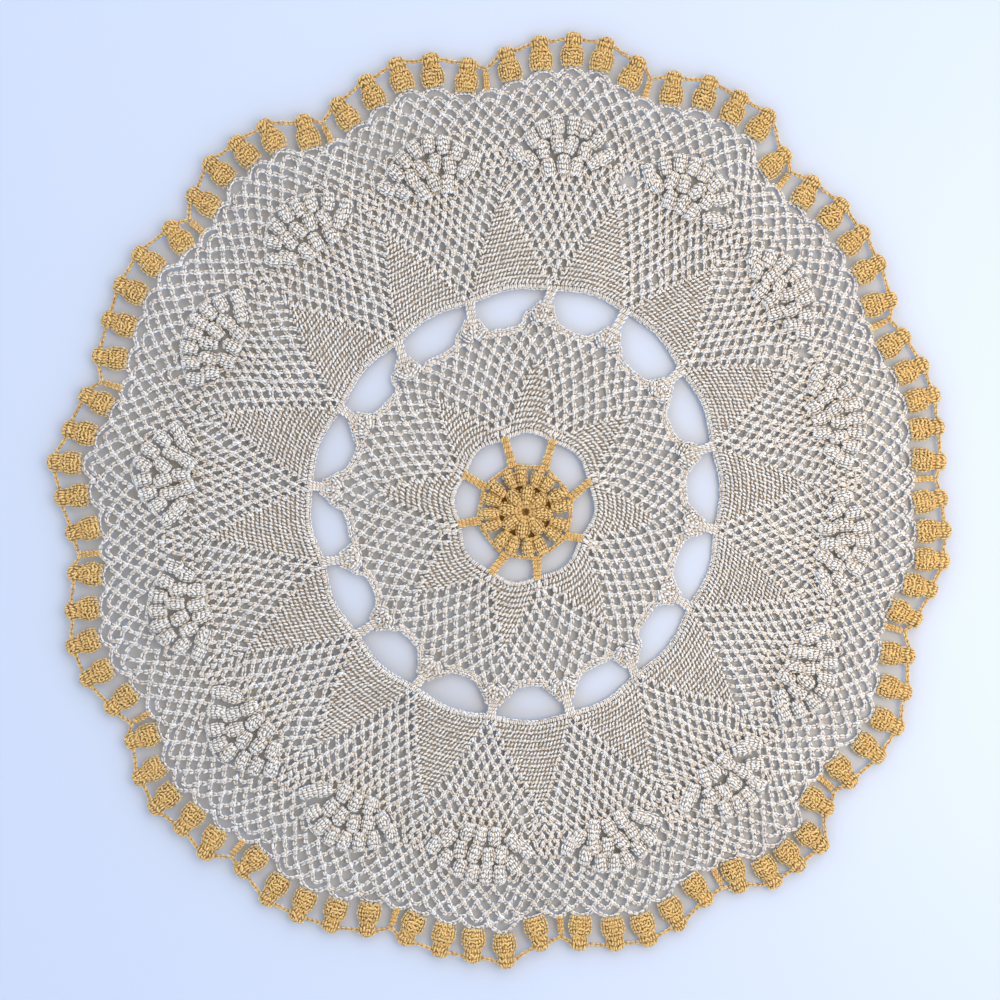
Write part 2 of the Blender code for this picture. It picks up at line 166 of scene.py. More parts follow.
# Strokes of one post, each of four points: across it in pitches, up it in its height, up in mm.
Stroke = namedtuple("Stroke", "radius shade across along up")
SPEAR_STROKES = rows_of(
    Stroke,
    (0.58, 0.9, (-0.62, -0.2, 0.2, 0.62), (0.74, 0.72, 0.78, 0.76), (-0.55, -0.35, -0.35, -0.55)),
    (0.53, 1, (-0.54, -0.22, 0.22, 0.54), (-0.03, 0.14, 0.33, 0.5), (-0.3, 0.1, 0.1, -0.3)),
    (0.54, 1, (-0.04, 0.28, 0.72, 1.04), (0.47, 0.64, 0.83, 1), (-0.3, 0.1, 0.1, -0.3)),
)
BAND_STROKES = rows_of(
    Stroke,
    (0.47, 1, (-0.4, -0.22, -0.15, -0.1), (-0.15, 0.15, 0.6, 1.05), (-0.4, 0.1, 0.15, -0.3)),
    (0.47, 1, (0.1, 0.22, 0.28, 0.32), (-0.15, 0.15, 0.6, 1.05), (-0.4, 0.1, 0.15, -0.3)),
    (0.47, 1, (-0.45, -0.15, 0.15, 0.48), (0.9, 1, 1.05, 1.1), (-0.2, 0.25, 0.25, -0.2)),
)
Post = namedtuple("Post", "pitch height strokes")
SPEAR_POST = Post(1.75, 1.7, SPEAR_STROKES)
BAND_POST = Post(1.85, 1.3, BAND_STROKES)
EYE_POST = Post(1, 2, BAND_STROKES[:2])  # round the rosette's eye
# The ground in the gaps of a round of posts, darkened as painted shade there; its sink is from their
# height.
GROUND_SINK, GROUND_THICKNESS, GROUND_PAINTED_SHADE = 0.5, 0.6, 0.24

# Net loops.
NET_HEIGHT = 1.35
LOOP_BOW = 2.1  # 1 is a pointed loop, and more a rounder one
LOOP_POINTS = 25
FEWEST_STITCHES = 3  # of a loop, or columns of a ground
LINE_STEPS = 8  # of a smooth line between two of its points
WIDTH_POINTS = 9  # that a length round a piece is measured on
FOOT_RISE = 0.45  # where a loop's feet cross the round below
KNOT_RISE = 0.75
FEET_SHAKE = 0.3  # mm that hand work moves the feet of a new net
VALLEY_SHAKE, SIDE_SHAKE, OUTER_SHAKE = 0.42, 0.4, 0.45  # and the tops of its loops
DISC_SHAKE = 0.3
DISC_OPEN_SHAKE = (0.01, 0.005)  # in the disc's last rounds, as places

# Rounds of the outer ring. Each fills the same share of its depth.
RING_ROUNDS = 23
RING_BAND = 0.022  # depth of the firm edge round
RIM_POINTS = 21
RIM_DEPTH = -0.002
VALLEY_ROUNDS = 12  # the net widens by one loop in each, and the spears narrow
WIDEST_VALLEY = 0.497  # half its width in sections
NARROWEST_SPEAR = 0.012
FIRST_PITCH = 4.6  # of the net's loops
PITCH_GROWTH = 0.05
TIGHTENED = 0.24  # loops under the popcorns are narrower by this share
TIGHT_AFTER, TIGHT_OVER = 4, 5  # in rounds
LAST_TOP = 0.995

# Rounds beside the popcorns: loops between two groups, and half a group's width.
SideRound = namedtuple("SideRound", "loops group_half")
SIDE_ROUNDS = rows_of(SideRound, (8, 9.9), (5, 19.4), (3, 26.2), (4, 25.4), (4, 22), (7, 13.5))
OUTER_LOOPS = 10  # in each section, beyond the popcorns

# Puffed clusters. rim and top are heights, foot and head the shares of the width left there.
Puff = namedtuple("Puff", "half_length half_width rim top foot head columns rows radius")
POPCORN = Puff(4.45, 3.15, 1.4, 3.7, 0.58, 0.66, 6, 4, 0.53)
FAN = Puff(3.3, 2.5, 1.2, 3.2, 0.45, 0.8, 4, 3, 0.5)
PETAL = Puff(4.5, 3.45, 1.1, 3.7, 0.3, 0.7, 6, 5, 0.48)
LEAF = Puff(4.75, 2.95, 1.1, 3.7, 0.42, 0.74, 6, 5, 0.48)
BULB = Puff(5.1, 6, 1, 3.6, 0.78, 0.6, 10, 6, 0.49)
KNOB = Puff(3.6, 4.2, 1.1, 3.4, 0.92, 0.68, 7, 3, 0.52)
DOME_WIDTH = 0.9  # share of the width that the strokes' middles reach
TAPER_POWER = 2.4
SIDE_FALL, END_FALL = 0.8, 0.62  # how far the dome comes down there
STROKE_MARKS = np.array((-0.1, 0.28, 0.72, 1.1))  # places along a short stroke
STROKE_LEAN = np.array((-1, -0.4, 0.4, 1))
STROKE_SINK = np.array((0.4, 0, 0, 0.4))
LEAN_SPREAD, LEAN_REACH = 0.2, 1.2  # strokes lean less towards the sides
MARK_SHAKE = 0.55  # of a stroke's own length
STROKE_END = 1.06
# Painted shade: a puff's strokes are brightest on its top and darker towards its rim.
PUFF_SHADE, PUFF_RIM_PAINTED_SHADE = 1.22, 0.16  # at the top, and how much less at the rim
ROW_WEIGHT = 1.5  # a row's end counts less as rim than a column's side
CAP_STROKES = ((-1.05, -0.3), (-0.4, 0.4), (0.3, 1.05))  # across the head
CAP_PLACE, CAP_BEND = 1.04, 0.3
CORE_POINTS, CORE_REACH, CORE_WIDTH = 6, 0.95, 0.84  # under the strokes
# The core is darker than the strokes: painted shade in the gaps between them.
CORE_HALF_HEIGHT, CORE_SINK, CORE_PAINTED_SHADE = 1, 1.25, 0.62

# Popcorns of one section. splay turns every second one of a row the other way.
PopcornRow = namedtuple("PopcornRow", "count depth splay")
POPCORN_ROWS = rows_of(PopcornRow, (3, 0.56, 0), (6, 0.648, 0.16), (8, 0.735, 0))
POPCORN_PITCH = 6.6
ROW_BEND = 0.8  # lost depth for each squared section from the leg's axis
ROW_TILT = 0.5  # share of that slope by which the end popcorns lean
POPCORN_TURN, POPCORN_SHAKE = 0.07, 0.35
LINE_PAST, LINE_HALF, LINE_POINTS = 0.047, 0.36, 26  # the chain line past the last row

# Relief. Firm inner edges stand off the table, fading outwards and inwards, and all waves.
RING_LIFT = (0.7, 3)  # all round, and most at one side
LIFTED_SIDE, LIFTED_SPREAD = 205, 35
RING_EDGE, RING_FADE = 101, (14, 3)
HOLE_LIFT, HOLE_EDGE, HOLE_FADE = 0.9, 34, (9, 4)
WAVE, WAVE_LENGTHS, WAVE_START = 0.7, (17, 21, 31, 27), 1.3
# Loops that are pulled wide, and by how much.
Stretched = namedtuple("Stretched", "x y opened")
STRETCHED = rows_of(Stretched, (61.8, 153.3, 2.8), (145.8, 70.7, 2.2), (106.6, -133.2, 2))
STRETCH_REACH = 4.5

# Rounds of the inner disc: loops between two spears, and their pitch.
DiscRound = namedtuple("DiscRound", "loops pitch")
DISC_ROUNDS = rows_of(
    DiscRound, (2, 2.9), (3, 4.3), (4, 5.1), (5, 5.4), (6, 5.8), (7, 6.2), (8, 6.4)
)
DISC_OPEN_ROUNDS = 3  # past the spears' tips, with one loop more
DISC_BAND = 0.05
DISC_WIDEST_VALLEY, DISC_LAST_SPEAR = 0.97, 0.96
DISC_EDGE = 0.955  # depth of the last round at the legs
DISC_DIP, DIP_AFTER = 0.055, 5  # how much less it is between them, and rounds before that

# Fans, disc legs, and the double chain between two fans.
FAN_HOLE, FAN_REACH = 4.6, 4.3  # from the fan's centre in to its hole, and from there to its puffs
FAN_TURNS = (-46, 0, 46)
LEG_START, LEG_PAST, LEG_POINTS = 1.6, 0.6, 7
LEG_WIDE, LEG_WAIST = 1.15, 0.3
RimPoint = namedtuple("RimPoint", "out aside inner_aside")
RIM_FROM_FAN = rows_of(RimPoint, (6, 2.6, 0.2), (1.6, 5, 0), (-2, 8, 0))
RIM_AT, RIM_DIP = np.array((0.28, 0.5, 0.72)), np.array((3.4, 4.4, 3.4))
INNER_RIM = 1.9  # from the outer chain in to the inner one
RIM_STITCH = 2

# Rosette.
PETAL_PLACE, LEAF_PLACE = 8.1, 17.1  # distance out
LEAF_SPREAD = 9.4  # degrees to each side of a leg
RIM_AT_LEG = 23
RIM_BETWEEN = 21.6
RIM_PIECES = 9
BRIDGE_HALF, BRIDGE_PLACE, BRIDGE_POINTS = 12, 13.5, 4
# The dark ground is painted shade: it shows dark in the gaps between the petals and in the eye.
BASE_RINGS, BASE_SPOKES = np.array((0.35, 8, 13.2)), 40  # a dark ground behind the petals
BASE_HEIGHT, BASE_THICKNESS, BASE_PAINTED_SHADE = 0.9, 0.5, 0.05
EYE_POSTS, EYE_FOOT, EYE_HEAD = 14, 1.9, 5.2
FOOT_INSET, TIP_PAST, ROSETTE_LEG_POINTS = 1, 1.4, 7
ROSETTE_LEG_WIDE, ROSETTE_LEG_WAIST, WAIST_PLACE = 1.75, 0.45, 0.8

# Shells, and where the outer chain meets their knobs.
BULB_PLACE, KNOB_PLACE = 0.3, 0.8
KnobPoint = namedtuple("KnobPoint", "aside share")
KNOB_CHAIN = rows_of(KnobPoint, (-3, 0.86), (-1.6, 0.97), (1.6, 0.97), (3, 0.86))
JOINT_INSET, JOINT_POINTS = 1, 6

# Flat size of each sheet in metres: width, length round the doily, and area.
Sheet = namedtuple("Sheet", "width length area")

# Finishes: lit yarn, a painted shadow colour for yarn in the depth of a stitch, and the tint of its
# fuzz.
Cotton = namedtuple("Cotton", "slot colour shadow sheen")
BEIGE = Cotton(
    "beige_cotton", (0.797, 0.748, 0.668, 1), (0.205, 0.165, 0.125, 1), (1, 0.98, 0.96, 1)
)
YELLOW = Cotton(
    "yellow_cotton", (0.77, 0.515, 0.193, 1), (0.15, 0.07, 0.014, 1), (1, 0.9, 0.7, 1)
)
Finish = namedtuple("Finish", "material slot")
PLY_RELIEF = 0.5  # of the twist, beside the grain's
GRAIN, PATCHES = (2600, 3), (28, 2)  # scale and detail of fibres, and of uneven dye
# Weights in the mix from the painted shadow colour to the lit colour: painted shade, painted shade
# in the twist's grooves, uneven dye, and a drop.
PAINTED_SHADE_SHARE, PLY_PAINTED_SHADE, PATCH_SHARE, SHADE_DROP = 1.05, 0.14, 0.25, 0.15
FLOOR_COLOUR = (0.538, 0.602, 0.708, 1)

# Light and camera, in metres. The surround fades from its sides to overhead as z grows.
SIDE_LIGHT = (1.98, 3, 4.58, 1)
OVERHEAD_LIGHT = (0.565, 0.38, 0.17, 1)
FADE = {"From Min": 0.3, "From Max": 0.65}
Lamp = namedtuple("Lamp", "name place size power")
LAMPS = rows_of(Lamp, ("key", (0.47, -0.06, 0.45), 0.4, 1.9), ("fill", (0.5, 1.1, 0.8), 1, 6.5))
LAMP_COLOUR = (1.03, 0.86, 0.66)
FLOOR_SIDE = 12
FRAME_SIDE = 0.48  # width of the floor that the camera sees
FRAME_CENTRE = (0.0004, 0.0001)
CAMERA_HEIGHT = 0.62
SENSOR_WIDTH = 36  # mm


def polar(centre, degrees, radius):
    (x, y), angle = centre, np.radians(degrees)
    return np.stack([x + radius * np.sin(angle), y + radius * np.cos(angle)], axis=-1)


def unit(vectors):
    return vectors / np.maximum(np.linalg.norm(vectors, axis=-1, keepdims=True), 1e-9)


def to_right(directions):
    """A quarter turn clockwise from each flat direction."""
    return np.stack([directions[..., 1], -directions[..., 0]], axis=-1)


def middles(count):
    """The middles of equal parts of the length from -1 to 1."""
    return (np.arange(count) + 0.5) / count * 2 - 1


def read_round(stations, values, at):
    """A value given at some stations of the closed round, read between them."""
    return np.interp(at, stations, values, period=SECTIONS)


def read_angle(stations, degrees, at):
    """The same for angles, which grow by a full turn each round."""
    stations = np.array(stations)
    return TURN * at + read_round(stations, np.array(degrees) - TURN * stations, at)


def leg_angle(at):
    return read_angle(LEGS, [row.leg_deg for row in TABLE], at)


def joint_angle(at):
    return read_angle(JOINTS, [row.joint_deg for row in TABLE], at)


def moon_radius(at):
    bulge = MOON_BULGE * np.cos(np.pi * at) ** 2
    return read_round(LEGS, [row.leg for row in TABLE], at) + bulge


def lace_radius(at):
    stations, radii = [], []
    for number, row in enumerate(TABLE):
        stations += [number, *(number + share for share in BULB_AT)]
        radii += [row.joint - JOINT_LENGTH, *(knob - SHELL_LENGTH for knob in row.knobs)]
    return read_round(stations, radii, at)


def hole_radius(at):
    bulge = HOLE_BULGE * np.cos(np.pi * (at - FIRST_ROSETTE_LEG + 1.0) / 2) ** 2
    return read_round(TIPS, [row.tip for row in ROSETTE_LEGS], at) + bulge


def ring_place(at, depth):
    """A point of the outer ring: depth runs from 0 at its inner edge to 1 at the lace edge."""
    degrees = leg_angle(at) + (joint_angle(at) - leg_angle(at)) * depth
    radius = moon_radius(at) + (lace_radius(at) - moon_radius(at)) * depth
    return polar(PATTERN_CENTRE, degrees, radius)


def disc_place(at, depth):
    """A point of the inner disc: depth runs from 0 at its hole to 1 at the fans' centres."""
    tip_degrees = read_angle(TIPS, [row.tip_deg for row in ROSETTE_LEGS], at)
    fan_degrees = read_angle(LEGS, [row.fan_deg for row in TABLE], at)
    degrees = tip_degrees + (fan_degrees - tip_degrees) * depth
    fan_radius = read_round(LEGS, [row.fan for row in TABLE], at)
    radius = hole_radius(at) + (fan_radius - hole_radius(at)) * depth
    return polar(DISC_CENTRE, degrees, radius)


def width_of(place, at, depth, half=0.5):
    """The length round the piece of one repeat, which reaches half to each side."""
    spots = place(at + half * np.linspace(-1, 1, WIDTH_POINTS), depth)
    return np.linalg.norm(np.diff(spots, axis=0), axis=-1).sum()


def raised(flat, height):
    """Points on the table lifted to a height, or each to its own."""
    heights = np.broadcast_to(height, flat.shape[:-1])
    return np.concatenate([flat, heights[..., None]], axis=-1)


class Yarn:
    """Strands of yarn gathered into one mesh. Each is a closed spindle along its own points."""

    SIDES = 4

    def __init__(self, seed):
        self.random = np.random.default_rng(seed)
        self.points, self.twist, self.shade = [], [], []
        self.triangles, self.quads = [np.zeros((0, 3), int)], []
        self.count = 0

    def strands(self, points, radius, flatten=1.0, shade=1.0, falloff=CHAIN_FALLOFF):
        """points has the shape (strands, points of each, 3), and its ends are pointed."""
        strands, length, _ = points.shape
        points = points + raised(pushed(points[..., :2].mean(axis=1)), 0.0)[:, None]
        rings = points[:, 1:-1]
        ahead = unit(points[:, 2:] - points[:, :-2])
        side = unit(np.cross(ahead, UP))
        top = np.cross(side, ahead) * flatten
        turn = 2 * np.pi * np.arange(self.SIDES) / self.SIDES
        circle = (
            np.cos(turn)[:, None] * side[:, :, None] + np.sin(turn)[:, None] * top[:, :, None]
        )
        radius = np.broadcast_to(radius, rings.shape[:2])
        skin = rings[:, :, None] + circle * radius[:, :, None, None]
        made = np.concatenate([points[:, :1], skin.reshape(strands, -1, 3), points[:, -1:]], axis=1)
        base = self.count + np.arange(strands)[:, None, None] * made.shape[1]
        triangles, quads = self.faces(length - 2)
        self.triangles.append((base + triangles).reshape(-1, 3))
        self.quads.append((base + quads).reshape(-1, 4))
        along = np.repeat(measured(points), [1, *[self.SIDES] * (length - 2), 1], axis=1)
        around = np.concatenate([[0.0], np.tile(turn, length - 2), [0.0]])
        start = self.random.uniform(0.0, TWIST_START, (strands, 1))
        twist = np.broadcast_arrays(np.cos(around), np.sin(around), along + start)
        self.twist.append(np.stack(twist, axis=-1).reshape(-1, 3))
        # Painted shade: each strand is lit on its top and darker at its sides and pointed ends.
        lit = falloff.sides + (1 - falloff.sides) * np.sin(around)
        lit[[0, -1]] = falloff.ends
        own = shade + self.random.normal(0, DYE_SPREAD, (strands, 1))
        self.shade.append((lit * own).reshape(-1))
        self.points.append(made.reshape(-1, 3))
        self.count += made.shape[0] * made.shape[1]

    def faces(self, rings):
        """Corner numbers of one strand's faces: triangles at its tips, quads between rings."""
        sides = self.SIDES
        last = 1 + rings * sides
        triangles, quads = [], []
        for j in range(sides):
            k = (j + 1) % sides
            triangles.append((0, 1 + j, 1 + k))
            triangles.append((last, last - sides + k, last - sides + j))
            for ring in range(rings - 1):
                a, b = 1 + ring * sides, 1 + (ring + 1) * sides
                quads.append((a + j, b + j, b + k, a + k))
        return np.array(triangles), np.array(quads)

    def slab(self, top, thickness, shade):
        """A closed sheet under close stitches, in one dark shade that paints the shade between them.
        top is a grid of points: outwards, clockwise.
        """
        rows, columns = top.shape[:2]
        index = np.arange(rows * columns).reshape(rows, columns)
        below = rows * columns
        corners = (index[:-1, :-1], index[:-1, 1:], index[1:, 1:], index[1:, :-1])
        a, b, c, d = (corner.ravel() for corner in corners)
        rim = np.concatenate([index[0], index[1:, -1], index[-1, -2::-1], index[-2:0:-1, 0]])
        after = np.roll(rim, -1)
        quads = np.concatenate(
            [
                np.stack([a, b, c, d], axis=-1),
                np.stack([a, d, c, b], axis=-1) + below,
                np.stack([rim + below, after + below, after, rim], axis=-1),
            ]
        )
        self.quads.append(quads + self.count)
        flat = top.reshape(-1, 3)
        self.points.append(np.concatenate([flat, flat - UP * thickness]))
        self.twist.append(np.tile((1.0, 0.0, 0.0), (2 * len(flat), 1)))
        self.shade.append(np.full(2 * len(flat), shade))
        self.count += 2 * len(flat)

    def shaken(self, points, amount):
        """Points moved a little at random, never down into the table."""
        moved = points + self.random.normal(0, amount, points.shape)
        moved[..., 2] = np.maximum(moved[..., 2], YARN)
        return moved

    def wraps(self, start, step, side, table, shake, radius):
        """Strands of one shape, each along its own step and to its own side."""
        points = [start + step * row.ahead + side * row.aside + UP * row.up for row in table]
        self.strands(self.shaken(np.stack(points, axis=1), shake), radius)

    def chain(self, path, spread=CHAIN_SPREAD, radius=YARN):
        """Chain stitches along paths of the shape (paths, points, 3), one between two points."""
        start = path[:, :-1].reshape(-1, 3)
        step = path[:, 1:].reshape(-1, 3) - start
        side = unit(np.cross(step, UP)) * spread
        for hand in (-1.0, 1.0):
            self.wraps(start, step, side * hand, CHAIN_LOBE, CHAIN_SHAKE, (radius, radius * FINER))

    def chain_line(self, flat, kind):
        """One line of chain over flat points."""
        self.chain(raised(flat, kind.height)[None], kind.spread, kind.radius)

    def knots(self, spots, out):
        """A short wrap across a loop's top, where the next round's loops meet."""
        lean = to_right(out) * self.random.normal(0, KNOT_LEAN, (len(spots), 1))
        centre = raised(spots, NET_HEIGHT + KNOT_RISE)
        rise, lean = raised(out, 0.0), raised(lean, 0.0)
        self.wraps(centre, rise, lean, KNOT_WRAP, KNOT_SHAKE, KNOT_RADIUS)

    def ropes(self, start, end, side, kind, widths):
        """Ropes side by side from start to end: worked posts. widths spreads them along it."""
        shares = np.linspace(0, 1, len(widths))[:, None]
        for strand in kind.strands:
            flat = start + (end - start) * shares + side * strand * widths[:, None]
            path = raised(flat, kind.height)
            step = np.diff(path, axis=0)
            across = unit(np.cross(step, UP)) * kind.half
            self.wraps(path[:-1], step, across, ROPE_WRAP, ROPE_SHAKE, kind.radius)

    def strokes(self, foot, rise, along, post):
        """The short strands of posts. rise is their flat length, and along is their pitch."""
        foot, rise, along = raised(foot, post.height), raised(rise, 0.0), raised(along, 0.0)
        for row in post.strokes:
            shift = self.random.normal(0, POST_SHIFT, (len(foot), 1))
            tilt = self.random.normal(0, POST_TILT, (len(foot), 1))
            middle = sum(row.across) / len(row.across)
            points = [
                foot + along * across + rise * (ahead + shift + tilt * (across - middle)) + UP * up
                for across, ahead, up in zip(row.across, row.along, row.up)
            ]
            points = self.shaken(np.stack(points, axis=1), POST_SHAKE)
            self.strands(points, row.radius, shade=row.shade, falloff=POST_FALLOFF)

    def puffs(self, centre, out, puff):
        """Puffed clusters: domes of short strokes, staggered from column to column, with painted
        shade at the rim and on a darker core.
        """
        along = to_right(out)
        number = len(centre)

        def on_dome(u, v, sink=0.0):
            end = np.where(v < 0.0, puff.foot, puff.head)
            narrow = 1 - np.abs(v) ** TAPER_POWER * (1 - end)
            flat = (
                centre[:, None] + out[:, None] * (v * puff.half_length)[..., None]
                + along[:, None] * (u * narrow * puff.half_width * DOME_WIDTH)[..., None]
            )
            across = np.clip(1 - SIDE_FALL * u**2, 0.0, 1.0)
            bulge = np.sqrt(across * (1 - END_FALL * np.abs(v) ** 3))
            return raised(flat, puff.rim + (puff.top - puff.rim) * bulge - sink)

        for u in np.linspace(-1, 1, puff.columns):
            marks = np.tile(np.linspace(-1, 1, puff.rows + 1), (number, 1))
            moved = self.random.uniform(-MARK_SHAKE, MARK_SHAKE, (number, puff.rows - 1))
            marks[:, 1:-1] += moved / puff.rows
            for v0, v1 in zip(marks.T[:-1], marks.T[1:]):
                v = v0[:, None] + (v1 - v0)[:, None] * STROKE_MARKS
                v = np.clip(v, -STROKE_END, STROKE_END)
                spread = LEAN_SPREAD * (LEAN_REACH - abs(u))
                lean = self.random.normal(0, spread, (number, 1)) * STROKE_LEAN
                edge = max(abs(u), abs((v0 + v1).mean()) / ROW_WEIGHT)
                points = self.shaken(on_dome(u + lean, v, STROKE_SINK), PUFF_SHAKE)
                # Painted shade, darker towards the dome's rim.
                shade = PUFF_SHADE - PUFF_RIM_PAINTED_SHADE * edge**3
                self.strands(points, puff.radius, shade=shade, falloff=PUFF_FALLOFF)
        for start, end in CAP_STROKES:
            u = np.linspace(start, end, len(STROKE_SINK))
            v = np.tile(CAP_PLACE - CAP_BEND * u**2, (number, 1))
            points = self.shaken(on_dome(u, v, STROKE_SINK), CAP_SHAKE)
            self.strands(points, puff.radius * FINER)
        # A darker core: painted shade seen between the strokes.
        v = np.tile(np.linspace(-CORE_REACH, CORE_REACH, CORE_POINTS), (number, 1))
        width = np.full(CORE_POINTS - 2, puff.half_width * CORE_WIDTH)
        flatten = CORE_HALF_HEIGHT / width[0]
        self.strands(on_dome(np.zeros(CORE_POINTS), v, CORE_SINK), width, flatten, CORE_PAINTED_SHADE)

    def build(self, name, finish, replaced=()):
        """The mesh object, which rides on the part's body and stands for the named solids."""
        places = np.concatenate(self.points)
        places[:, 2] += lift(places[:, 0], places[:, 1])
        places = places * MM
        triangles, quads = np.concatenate(self.triangles), np.concatenate(self.quads)
        corners = np.concatenate([triangles.ravel(), quads.ravel()])
        sizes = np.concatenate([np.full(len(triangles), 3), np.full(len(quads), 4)])
        mesh = bpy.data.meshes.new(name)
        mesh.vertices.add(len(places))
        mesh.vertices.foreach_set("co", places.ravel())
        mesh.loops.add(len(corners))
        mesh.loops.foreach_set("vertex_index", corners)
        mesh.polygons.add(len(sizes))
        mesh.polygons.foreach_set("loop_start", np.concatenate([[0], np.cumsum(sizes)[:-1]]))
        mesh.polygons.foreach_set("use_smooth", np.ones(len(sizes), bool))
        twist = mesh.attributes.new("twist", "FLOAT_VECTOR", "POINT").data
        twist.foreach_set("vector", np.concatenate(self.twist).ravel())
        shade = mesh.attributes.new("shade", "FLOAT", "POINT").data
        shade.foreach_set("value", np.concatenate(self.shade))
        mesh.update()
        mesh.validate()
        mesh.materials.append(finish.material)
        piece = bpy.data.objects.new(name, mesh)
        bpy.context.scene.collection.objects.link(piece)
        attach(piece, "root")
        if replaced:
            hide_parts(*replaced)
        return piece


def faded(distance, fade):
    """1 at an edge, fading over so many millimetres outside it and inside it."""
    return np.exp(-np.where(distance > 0.0, distance / fade[0], -distance / fade[1]))


def lift(x, y):
    """How far the lace stands off the table."""
    x_out, y_out = x - PATTERN_CENTRE[0], y - PATTERN_CENTRE[1]
    away = np.degrees(np.arctan2(x_out, y_out)) - LIFTED_SIDE
    away = (away + FULL_TURN / 2) % FULL_TURN - FULL_TURN / 2
    least, most = RING_LIFT
    height = least + (most - least) * np.exp(-((away / LIFTED_SPREAD) ** 2))
    edge = height * faded(np.hypot(x_out, y_out) - RING_EDGE, RING_FADE)
    hole = np.hypot(x - DISC_CENTRE[0], y - DISC_CENTRE[1]) - HOLE_EDGE
    x_short, y_short, x_long, y_long = WAVE_LENGTHS
    wave = np.sin(x / x_short + WAVE_START) * np.sin(y / y_short)
    wave += np.sin(x / x_long - y / y_long)
    return edge + HOLE_LIFT * faded(hole, HOLE_FADE) + WAVE * (wave + 2.0) / 4.0


def pushed(flat):
    """How far the loops that are pulled wide push strands at these places aside."""
    push = np.zeros_like(flat)
    for row in STRETCHED:
        away = flat - (row.x, row.y)
        distance = np.linalg.norm(away, axis=-1, keepdims=True)
        push += unit(away) * row.opened * np.exp(-((distance / STRETCH_REACH) ** 2))
    return push


def measured(points):
    """How far along its line each point is."""
    lengths = np.linalg.norm(np.diff(points, axis=-2), axis=-1).cumsum(axis=-1)
    return np.concatenate([np.zeros((*lengths.shape[:-1], 1)), lengths], axis=-1)


def even_points(points, lengths, count):
    """A line cut into so many equal stitches."""
    marks = np.linspace(0, lengths[-1], count + 1)
    return np.stack([np.interp(marks, lengths, points[:, axis]) for axis in (0, 1)], axis=-1)


def arc_paths(place, left, right, tops):
    """Loops of net from left to right anchors over their tops, cut into chain stitches.

    Each anchor or top is a row of (at, depth). Loops in one call have the same stitch count.
    """
    share = np.linspace(0, 1, LOOP_POINTS)
    over = 1 - np.abs(2 * share - 1.0) ** LOOP_BOW
    straight = left[:, None] + (right - left)[:, None] * share[:, None]
    path = straight + (tops - (left + right) / 2)[:, None] * over[:, None]
    flat = place(path[..., 0], path[..., 1])
    lengths = measured(flat)
    count = max(FEWEST_STITCHES, int(round(lengths[:, -1].mean() / STITCH)))
    return np.array([even_points(*line, count) for line in zip(flat, lengths)])


def net(yarn, place, anchors, tops):
    """One round of net loops between neighbouring anchors; their feet cross the round below."""
    left, right = anchors[:-1], anchors[1:]
    flat = arc_paths(place, left, right, tops)
    foot = 1 - np.sin(np.pi * np.linspace(0, 1, flat.shape[1]))
    yarn.chain(raised(flat, NET_HEIGHT + FOOT_RISE * foot**2))
    spots = place(left[:, 0], left[:, 1])
    yarn.knots(spots, unit(place(left[:, 0], left[:, 1] + STEP) - spots))


def shaken_places(yarn, place, spots, depth, amount, middle=None):
    """Feet or tops of loops as rows of (at, depth), a little uneven.

    middle is where a section's width is read.
    """
    spots = np.asarray(spots, float)
    width = width_of(place, float(spots.mean()) if middle is None else middle, depth)
    across = yarn.random.normal(0, amount, len(spots)) / width
    out = yarn.random.normal(0, amount / RING_DEPTH, len(spots))
    return np.stack([spots + across, depth + out], axis=-1)


def post_round(yarn, ground, place, axis, half, depths, post):
    """A round of posts to both sides of an axis, on a dark ground that fills their gaps as painted
    shade.
    """
    low, high = depths
    length = width_of(place, axis, (low + high) / 2, half)
    count = max(1, int(round(length / post.pitch)))
    at = axis + half * middles(count)
    foot, head = place(at, low), place(at, high)
    along = unit(place(at + STEP, high) - place(at - STEP, high)) * (length / count)
    yarn.strokes(foot, head - foot, along, post)
    columns = axis + half * np.linspace(-1, 1, max(FEWEST_STITCHES, count // 2))
    grid = np.array([place(columns, depth) for depth in depths])
    # The ground's low shade is painted shade, seen in the gaps between the posts.
    ground.slab(raised(grid, post.height - GROUND_SINK), GROUND_THICKNESS, GROUND_PAINTED_SHADE)


def squeezed(across, half, strength):
    """Moves places towards an axis: spacing shrinks there and grows at both ends."""
    return across * (1 - strength * (1 - (across / half) ** 2))


def ring_top(number):
    """Depth of the top of one of the ring's rounds."""
    return RING_BAND + (1 - RING_BAND) * number / RING_ROUNDS


def ring_spears_and_valleys(spears, ground, nets):
    """The firm inner edge, sixteen solid spears, and the net that widens between them."""
    for number in range(SECTIONS):
        leg, yarn = number + 0.5, nets[number // SECTIONS_EACH]
        post_round(spears, ground, ring_place, number, 0.5, (0.0, RING_BAND), BAND_POST)
        edge = ring_place(leg + np.linspace(-0.5, 0.5, RIM_POINTS), RIM_DEPTH)
        spears.chain_line(edge, RING_RIM)
        tops = np.zeros((0, 2))
        for round_number in range(1, VALLEY_ROUNDS + 1):
            low, high = ring_top(round_number - 1), ring_top(round_number)
            loops = round_number * (FIRST_PITCH + PITCH_GROWTH * round_number)
            half = min(WIDEST_VALLEY, loops / 2 / width_of(ring_place, leg, low))
            tight = TIGHTENED * np.clip((round_number - TIGHT_AFTER) / TIGHT_OVER, 0.0, 1.0)
            spots = leg + squeezed(middles(round_number) * half, half, tight)
            anchors = np.concatenate([[(leg - half, low)], tops, [(leg + half, low)]])
            tops = shaken_places(yarn, ring_place, spots, high, VALLEY_SHAKE)
            net(yarn, ring_place, anchors, tops)
            solid = 0.5 - half
            if solid > NARROWEST_SPEAR:
                post_round(spears, ground, ring_place, number, solid, (low, high), SPEAR_POST)


